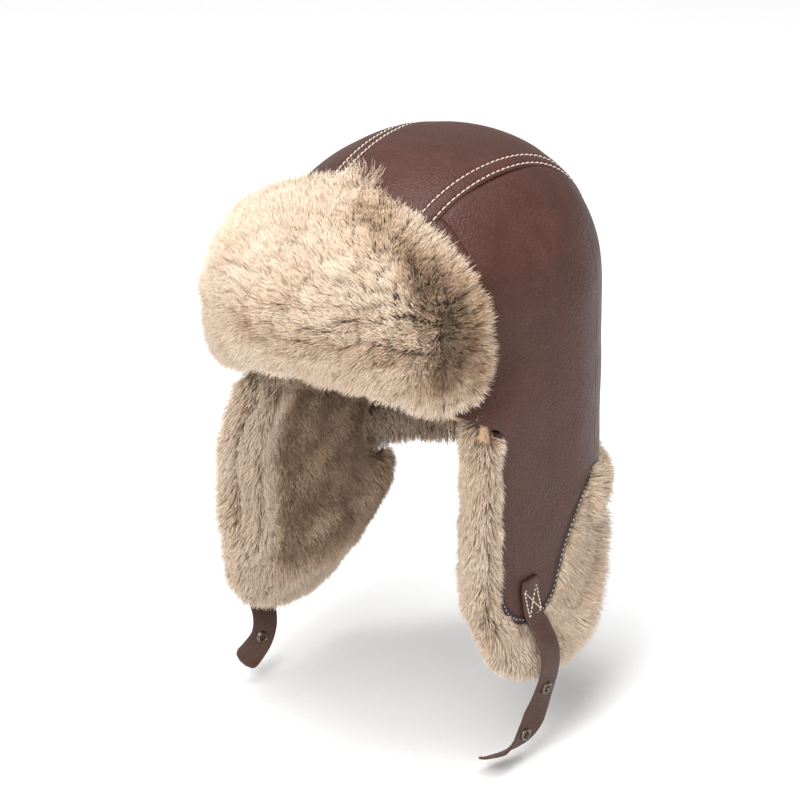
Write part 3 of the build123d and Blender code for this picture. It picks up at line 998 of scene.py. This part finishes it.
# ------------------------------------------------------------------ edge tapes
def tape(name, path, normals, half_width, height, material):
    """A soft half-round tape along a path; normals point away from the leather's face."""
    tangent = unit(np.gradient(path, axis=0))
    across = unit(np.cross(normals, tangent))
    angle = np.linspace(0, 2 * math.pi, 12, endpoint=False)
    ring_a = np.cos(angle) * half_width
    ring_b = np.where(np.sin(angle) > 0, np.sin(angle) * height, np.sin(angle) * 6.0)
    rings = path[:, None] + across[:, None] * ring_a[None, :, None] + normals[:, None] * ring_b[None, :,
        None]
    ruffle = 0.18 * waves(rings, 9.0, 51, 2)
    return join_tubes(name, [rings + normals[:, None] * ruffle[..., None]], material)


def flap_tape(label, side):
    front = np.stack([np.full(24, LEATHER_FRONT_Y), np.linspace(-1.0, -92.0, 24)], -1)
    path_yz = np.concatenate([front, curve_through(LEATHER_EDGE, 90)[1:]])
    y, z = path_yz[:, 0], path_yz[:, 1]
    path = np.stack([side_x(y, z) - 0.3, y, z], -1)
    slope = flap_x(y + 0.5) - flap_x(y - 0.5)
    normals = unit(np.stack([np.ones_like(slope), -slope, 0 * slope], -1))
    path, normals = splayed(mirrored(path, side), side), mirrored(normals, side)
    piece = tape(f"ear_flap_tape_{label}", path, normals, 2.6, 1.0, TAPE_DARK)
    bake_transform(piece)
    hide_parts(f"ear_flap_binding_{label}")
    lower = slice(6, None)
    rings = stitch_row(path[lower] + normals[lower] * 0.95, normals[lower], 3.0, 1.4, 0.24)
    stitches = join_tubes(f"tape_stitches_{label}", rings, THREAD_CREAM)
    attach(stitches, f"ear_flap_{label}")


def nape_tape():
    theta = np.radians(np.linspace(18.0, 162.0, 90))
    path = crown_point(theta, np.full(90, NAPE_Z - 0.5), -0.3)
    normals = np.stack([np.cos(theta), np.sin(theta), 0 * theta], -1)
    piece = tape("nape_tape", path, normals, 2.1, 1.1, TAPE_DARK)
    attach(piece, "crown")
    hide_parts("nape_binding")


# ------------------------------------------------------------------ straps
STRAP_HALF = 8.0
STRAP_THICK = 1.6
STRAP_ROUTES = {
    "left": (
        [(90.6, -26, -95), (90.7, -25, -106), (92.0, -24, -116), (97.0, -22, -126), (101.0, -21, -136),
            (101.5, -20, -146),
         (99.5, -19, -156), (97.0, -20, -166), (95.0, -23, -176), (93.0, -29, -186), (90.0, -40, -193),
             (87.5, -52, -195.5),
         (86.0, -63, -193)],
        [(1, -0.05, 0), (1, -0.05, 0), (0.95, -0.05, 0.35), (0.9, -0.1, 0.45), (1, -0.1, 0.2),
            (1, -0.15, -0.1),
         (1, -0.2, -0.2), (1, -0.25, -0.15), (0.95, -0.4, -0.1), (0.85, -0.45, -0.35),
             (0.65, -0.35, -0.7), (0.45, 0.0, -0.9),
         (0.35, 0.1, -0.95)],
        (-162.0, -188.0),
    ),
    "right": (
        [(-90.6, -26, -95), (-90.7, -25, -106), (-92.0, -25, -116), (-98.0, -25, -126),
            (-104.0, -25, -136), (-105.5, -25, -146),
         (-103.5, -24, -156), (-99.0, -25, -165), (-97.0, -27, -173), (-97.5, -30, -181),
             (-99.5, -36, -188),
         (-101.0, -44, -193)],
        [(-1, -0.05, 0), (-1, -0.05, 0), (-0.95, -0.05, 0.35), (-0.9, -0.1, 0.45), (-1, 0.0, 0.2),
            (-1, 0.1, 0),
         (-0.95, 0.3, 0), (-0.9, 0.4, 0), (-0.9, 0.45, -0.1), (-0.85, 0.4, -0.3), (-0.7, 0.4, -0.5),
             (-0.6, 0.4, -0.6)],
        (-152.0, -180.0),
    ),
}


def strap(label, side):
    route, facing, snap_heights = STRAP_ROUTES[label]
    count = 90
    path = curve_through(route, count)
    normals = np.stack([np.interp(np.linspace(0, 1, count), np.linspace(0, 1, len(facing)),
        np.array(facing, float)[:, k])
                        for k in range(3)], -1)
    tangent = unit(np.gradient(path, axis=0))
    normals = unit(normals - tangent * (normals * tangent).sum(-1, keepdims=True))
    across = np.cross(tangent, normals)
    run = np.linspace(0, 1, count)
    taper = np.sqrt(np.clip(1 - ((run - 0.955) / 0.045) ** 2, 0.0, 1.0))
    taper = np.where(run < 0.955, 1.0, 0.35 + 0.65 * taper)
    head = np.where(run > 0.03, 1.0, 0.85 + 5.0 * run)
    half = STRAP_HALF * taper * head * (1.0 - 0.05 * np.sin(run * 9.0) ** 2)
    edge = np.array([(-1.0, 0.0), (-0.985, 0.55), (-0.93, 0.92), (-0.80, 1.0), (-0.4, 1.0), (0.0, 1.0),
        (0.4, 1.0),
                     (0.80, 1.0), (0.93, 0.92), (0.985, 0.55), (1.0, 0.0)])
    under = edge[-2:0:-1] * np.array([1, -1])
    section = np.concatenate([edge, under])
    cup = -0.5 * section[:, 0] ** 2
    rings = (path[:, None] + across[:, None] * (half[:, None] * section[None, :, 0])[..., None]
             + normals[:, None] * (STRAP_THICK / 2 * section[None, :, 1] + cup[None])[..., None])
    piece = join_tubes(f"strap_{label}", [rings], STRAP_BROWN)
    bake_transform(piece)
    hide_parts(f"strap_root_{label}", f"strap_tail_{label}")
    for level, height in zip(("upper", "lower"), snap_heights):
        at = int(np.argmax(path[:, 2] < height))
        body = f"ear_flap_{label}" if level == "upper" else f"strap_{label}"
        for part, direction in (("cap", 1.0), ("socket", -1.0)):
            ring = snap(f"snap_{level}_{part}_{label}_detail", path[at]
                + normals[at] * (direction * STRAP_THICK / 2),
                        normals[at] * direction, across[at], part)
            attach(ring, body)
            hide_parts(f"snap_{level}_{part}_{label}")
    box_stitch(label, path, normals, across)


def lathe(name, origin, axis, start, profile, material, around=40):
    """A turned piece about axis; profile is (radius, height) pairs from the rim's foot to the centre."""
    third = np.cross(axis, start)
    angle = np.linspace(0, 2 * math.pi, around, endpoint=False)
    circle = start[None] * np.cos(angle)[:, None] + third[None] * np.sin(angle)[:, None]
    rings = [origin + circle * r + axis * h for r, h in profile]
    return join_tubes(name, [np.array(rings)], material)


def snap(name, origin, axis, start, part):
    """A ring snap: a domed ring round a dark eye, or the deeper socket behind it."""
    if part == "cap":
        profile = [(3.5, -0.5), (3.95, 0.05), (4.05, 0.45), (3.9, 0.85), (3.4, 1.2), (2.7, 1.25),
            (2.2, 1.05), (1.85, 0.65),
                   (1.6, 0.0), (1.45, -0.6), (1.0, -0.7), (0.2, -0.7)]
    else:
        profile = [(3.4, -0.5), (3.8, 0.05), (3.9, 0.5), (3.6, 0.9), (3.0, 1.0), (2.6, 1.5), (2.35, 1.65),
            (2.0, 1.6),
                   (1.75, 1.2), (1.6, 0.5), (1.4, 0.0), (0.9, -0.1), (0.2, -0.1)]
    return lathe(name, origin, axis, start, profile, SNAP_DARK)


def box_stitch(label, path, normals, across):
    """A box of stitches with a cross in it, over the strap's sewn head."""
    centre_at = 9
    origin, n, a = path[centre_at], normals[centre_at], across[centre_at]
    down = unit(path[centre_at + 6] - path[centre_at - 6])
    tilt = math.radians(5.0)
    side_way = a * math.cos(tilt) + down * math.sin(tilt)
    down = down * math.cos(tilt) - a * math.sin(tilt)
    corners = [origin + side_way * x + down * z + n * (STRAP_THICK / 2 - 0.05)
               for x, z in ((-5.6, -8.5), (5.6, -8.5), (5.6, 8.5), (-5.6, 8.5))]
    runs = [(0, 1), (1, 2), (2, 3), (3, 0), (0, 2), (1, 3)]
    rings = []
    for i, j in runs:
        span = np.linalg.norm(corners[j] - corners[i])
        stitches = max(4, round(span / 2.6))
        for k in range(stitches):
            start = corners[i] + (corners[j] - corners[i]) * (k + 0.1) / stitches
            end = corners[i] + (corners[j] - corners[i]) * (k + 0.9) / stitches
            rings.append(stitch_rings(start, end, n, 0.36))
    piece = join_tubes(f"box_stitches_{label}", rings, THREAD_CREAM)
    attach(piece, f"ear_flap_{label}")
    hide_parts(f"strap_box_stitch_{label}")


# ------------------------------------------------------------------ make the hat
centre = centre_panel()
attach(centre, "crown")
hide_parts("crown_panel_centre")
front_flap()
crown_lining()
nape_tape()
for label, side in SIDES.items():
    side_leather(label, side)
    seam_stitches(label, side)
    ear_flap(label, side)
    flap_tape(label, side)
    strap(label, side)

# The wadding keeps its CAD shape and gets a finish of its own.
wadding = [f"crown_wadding_{part}" for part in ("centre",
    *SIDES)] + [f"ear_flap_wadding_{part}" for part in SIDES]
for node in wadding:
    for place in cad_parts[node].material_slots:
        place.material = FLEECE


# ------------------------------------------------------------------ studio
def studio():
    """A pale floor, a pale sky and large soft lamps."""
    m = Maker("studio_floor")
    grain = m.noise(900.0, 2.0)
    colour = m.mix(m.spread(grain, 0.3, 0.7), (0.86, 0.86, 0.86, 1), (0.90, 0.90, 0.90, 1))
    material = m.finish(colour, 0.9)
    side, z = 12.0, FLOOR_Z * MM
    mesh = bpy.data.meshes.new("floor")
    mesh.from_pydata([(-side, -side, z), (side, -side, z), (side, side, z), (-side, side, z)], [],
        [(0, 1, 2, 3)])
    mesh.materials.append(material)
    floor = bpy.data.objects.new("floor", mesh)
    bpy.context.scene.collection.objects.link(floor)

    world = bpy.data.worlds.new("studio")
    world.use_nodes = True
    world.node_tree.nodes["Background"].inputs[0].default_value = (1.0, 1.0, 1.0, 1.0)
    world.node_tree.nodes["Background"].inputs[1].default_value = 0.42
    bpy.context.scene.world = world

    lamps = (
        ("key", (0.40, -1.75, 1.25), 1.0, 32.0),
        ("fill", (1.6, -1.3, 0.7), 1.0, 9.0),
        ("top", (0.0, -0.2, 1.9), 1.2, 22.0),
    )
    for name, place, size, power in lamps:
        light = bpy.data.lights.new(name, "AREA")
        light.shape = "DISK"
        light.size = size
        light.energy = power
        lamp = bpy.data.objects.new(name, light)
        bpy.context.scene.collection.objects.link(lamp)
        lamp.location = place
        aim_at(lamp, (0.0, 0.0, 0.0))
    sun = bpy.data.lights.new("sky_glow", "SUN")
    sun.energy = 1.5
    sun.angle = math.radians(60.0)
    glow = bpy.data.objects.new("sky_glow", sun)
    bpy.context.scene.collection.objects.link(glow)
    glow.rotation_euler = (math.radians(20.0), 0.0, 0.0)


def aim_at(thing, target):
    """Turns a lamp or camera so that it looks at a point."""
    direction = np.array(thing.location) - np.array(target)
    flat = math.hypot(direction[0], direction[1])
    thing.rotation_euler = (math.atan2(flat, direction[2]), 0.0, math.atan2(direction[0], -direction[1]))


def camera():
    """A long lens from the front and the wearer's left, a little above."""
    azimuth, elevation, distance = math.radians(35.0), math.radians(21.0), 1.8
    back = np.array([math.sin(azimuth) * math.cos(elevation), -math.cos(azimuth) * math.cos(elevation),
        math.sin(elevation)])
    right = np.array([math.cos(azimuth), math.sin(azimuth), 0.0])
    up = np.cross(back, right)
    target = right * -0.0137 + up * -0.0148
    data = bpy.data.cameras.new("camera")
    data.sensor_width = 36.0
    data.lens = 142.0
    item = bpy.data.objects.new("camera", data)
    bpy.context.scene.collection.objects.link(item)
    item.location = target + back * distance
    aim_at(item, target)
    bpy.context.scene.camera = item


studio()
camera()
bpy.context.scene.view_settings.view_transform = "Standard"
